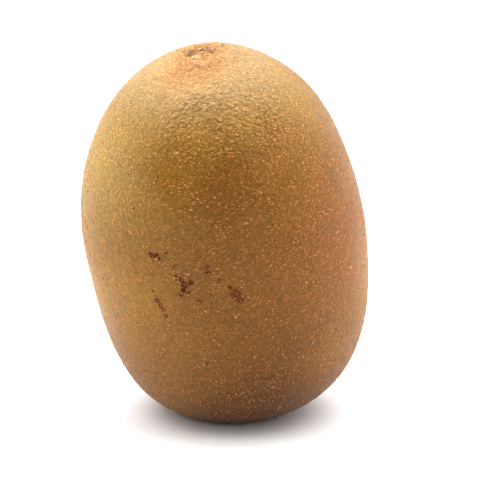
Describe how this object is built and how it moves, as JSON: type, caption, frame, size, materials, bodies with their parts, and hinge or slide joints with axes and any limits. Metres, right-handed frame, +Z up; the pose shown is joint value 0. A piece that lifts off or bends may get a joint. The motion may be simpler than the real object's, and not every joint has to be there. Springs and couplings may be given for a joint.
{
  "type": "kiwi fruit",
  "caption": "Whole ripe kiwi fruit with thin brown skin, raised hair bases and small corky marks, standing on its blunt stem end with a slight lean.",
  "frame": {"origin": "on the surface that the fruit stands on, under the middle of its width and depth", "axes": "+Z up from the stem end to the blossom end, along which the fruit is longest; +X to the right of its front; +Y from the front to the back, its narrowest width"},
  "size_m": [0.0516, 0.0494, 0.0684],
  "materials": {
    "kiwi_skin": "satin"
  },
  "bodies": {
    "root": {"kiwi_fruit": "kiwi_skin"}
  },
  "joints": []
}
